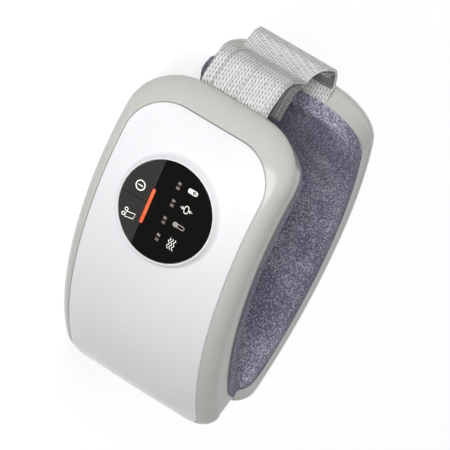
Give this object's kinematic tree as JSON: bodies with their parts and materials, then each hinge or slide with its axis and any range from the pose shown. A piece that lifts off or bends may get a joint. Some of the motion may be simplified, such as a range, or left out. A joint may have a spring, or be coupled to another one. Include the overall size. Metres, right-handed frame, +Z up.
{
  "type": "wrap-around joint massager",
  "caption": "Wrap-around joint massager: two curved half shells hinged at one end, plush air-bag pads inside, elastic strap across the open end and a round key panel.",
  "frame": {"origin": "bottom centre of the whole part, on the surface that it stands on", "axes": "+X from the strap end to the hinge end, +Y from the near half with the panel to the far half, +Z up"},
  "size_m": [0.235, 0.1694, 0.114],
  "materials": {
    "white_shell": "gloss",
    "grey_frame": "gloss",
    "inner_plastic": "matt",
    "heating_film": "satin",
    "air_bag": "matt",
    "plush": "velvet pile",
    "steel": "satin",
    "black_gloss": "gloss",
    "light_guide": "lit",
    "circuit_board": "solder mask",
    "battery_wrap": "foil",
    "dark_plastic": "matt",
    "webbing": "ribbed elastic",
    "grip_tape": "hook and loop",
    "strap_lining": "soft loop",
    "pale_plastic": "satin"
  },
  "bodies": {
    "near_half": {"near_cover": "white_shell", "near_frame": "grey_frame", "near_inner_shell": "inner_plastic", "near_heating_film": "heating_film", "near_air_bag": "air_bag", "near_plush_pad": "plush", "near_strap_bar": "steel", "near_motor": "steel", "air_pump": "steel", "charging_socket": "steel", "near_hinge_bracket": "steel", "hinge_pin": "steel", "near_shell_screw_1": "steel", "near_shell_screw_2": "steel", "near_shell_screw_3": "steel", "near_shell_screw_4": "steel", "panel_lens": "black_gloss", "light_bar": "light_guide", "display_board": "circuit_board", "main_board": "circuit_board", "battery_pack": "battery_wrap", "air_valve": "dark_plastic", "near_strap": "webbing", "hook_patch": "grip_tape", "near_strap_lining": "strap_lining", "hinge_hood": "pale_plastic"},
    "far_half": {"far_cover": "white_shell", "far_frame": "grey_frame", "far_inner_shell": "inner_plastic", "far_heating_film": "heating_film", "far_air_bag": "air_bag", "far_plush_pad": "plush", "far_strap_bar": "steel", "far_motor": "steel", "far_hinge_bracket": "steel", "far_shell_screw_1": "steel", "far_shell_screw_2": "steel", "far_shell_screw_3": "steel", "far_shell_screw_4": "steel", "far_strap": "webbing", "far_strap_lining": "strap_lining", "loop_patch": "grip_tape"},
    "power_key": {"power_key": "black_gloss"},
    "mode_key": {"mode_key": "black_gloss"},
    "valve_plunger": {"valve_plunger": "steel"},
    "near_motor_weight": {"near_motor_weight": "steel"},
    "far_motor_weight": {"far_motor_weight": "steel"}
  },
  "joints": [
    {"name": "half_hinge", "type": "hinge", "parent": "near_half", "child": "far_half", "pos_m": [0.11002, 0.00197, 0.057], "axis": [0, 0, -1], "range_deg": [0, 30]},
    {"name": "power_key_travel", "type": "slide", "parent": "near_half", "child": "power_key", "axis": [0.1397, 0.9902, 0], "range_m": [0, 0.0006], "stiffness_N_per_m": 400},
    {"name": "mode_key_travel", "type": "slide", "parent": "near_half", "child": "mode_key", "axis": [0.1397, 0.9902, 0], "range_m": [0, 0.0006], "stiffness_N_per_m": 400},
    {"name": "valve_stroke", "type": "slide", "parent": "near_half", "child": "valve_plunger", "axis": [0.9456, -0.3252, 0], "range_m": [0, 0.0012], "stiffness_N_per_m": 200},
    {"name": "near_motor_spin", "type": "hinge", "parent": "near_half", "child": "near_motor_weight", "pos_m": [-0.05524, -0.05228, 0.027], "axis": [0.9536, -0.301, 0], "continuous": true},
    {"name": "far_motor_spin", "type": "hinge", "parent": "far_half", "child": "far_motor_weight", "pos_m": [-0.05524, 0.05621, 0.027], "axis": [0.9536, 0.301, 0], "continuous": true}
  ]
}
